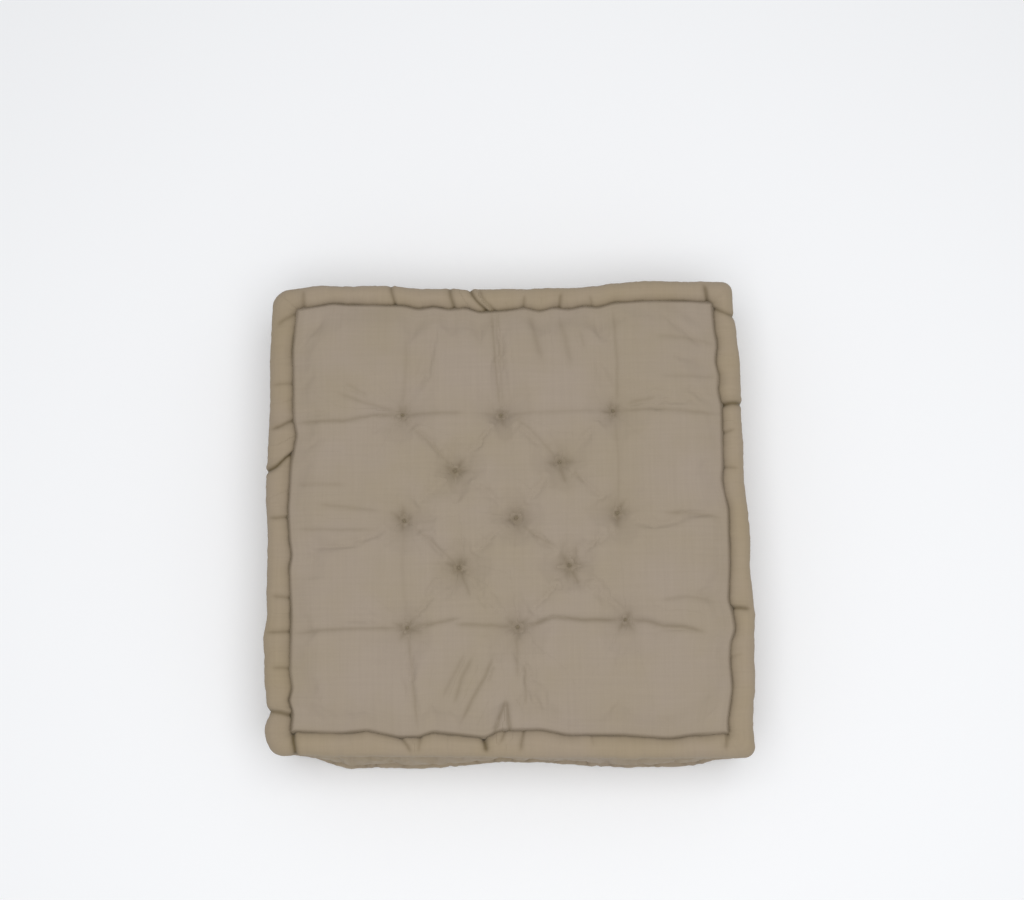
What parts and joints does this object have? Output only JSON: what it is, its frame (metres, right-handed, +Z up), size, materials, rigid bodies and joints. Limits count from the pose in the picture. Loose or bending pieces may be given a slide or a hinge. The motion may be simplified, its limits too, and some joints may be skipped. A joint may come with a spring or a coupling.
{
  "type": "floor cushion",
  "caption": "Square tufted box floor cushion in plain cotton, with a hand-stitched rolled edge round the top and the bottom and twine tufts pulled through.",
  "frame": {"origin": "middle of the footprint, on the floor that the underside rests on", "axes": "+Z up through the thickness, front towards -Y, +X to the right seen from the front"},
  "size_m": [0.5994, 0.5994, 0.12],
  "materials": {
    "cover_cotton": "matte plain weave, taupe",
    "cotton_wadding": "fluffy, off-white",
    "tufting_twine": "twisted cotton twine, matte",
    "sewing_thread": "fine thread, matte"
  },
  "bodies": {
    "root": {"bottom_face_stitching": "tufting_twine", "bottom_panel": "cover_cotton", "bottom_roll_wadding_back": "cotton_wadding", "bottom_roll_wadding_front": "cotton_wadding", "bottom_roll_wadding_left": "cotton_wadding", "bottom_roll_wadding_right": "cotton_wadding", "bottom_seam_thread": "sewing_thread", "bottom_wall_stitching": "tufting_twine", "boxing_back": "cover_cotton", "boxing_front": "cover_cotton", "boxing_left": "cover_cotton", "boxing_right": "cover_cotton", "corner_seam_thread_back_left": "sewing_thread", "corner_seam_thread_back_right": "sewing_thread", "corner_seam_thread_front_left": "sewing_thread", "corner_seam_thread_front_right": "sewing_thread", "cotton_stuffing": "cotton_wadding", "top_face_stitching": "tufting_twine", "top_panel": "cover_cotton", "top_roll_wadding_back": "cotton_wadding", "top_roll_wadding_front": "cotton_wadding", "top_roll_wadding_left": "cotton_wadding", "top_roll_wadding_right": "cotton_wadding", "top_seam_thread": "sewing_thread", "top_wall_stitching": "tufting_twine", "tuft_tie_01": "tufting_twine", "tuft_tie_02": "tufting_twine", "tuft_tie_03": "tufting_twine", "tuft_tie_04": "tufting_twine", "tuft_tie_05": "tufting_twine", "tuft_tie_06": "tufting_twine", "tuft_tie_07": "tufting_twine", "tuft_tie_08": "tufting_twine", "tuft_tie_09": "tufting_twine", "tuft_tie_10": "tufting_twine", "tuft_tie_11": "tufting_twine", "tuft_tie_12": "tufting_twine", "tuft_tie_13": "tufting_twine"}
  },
  "joints": []
}
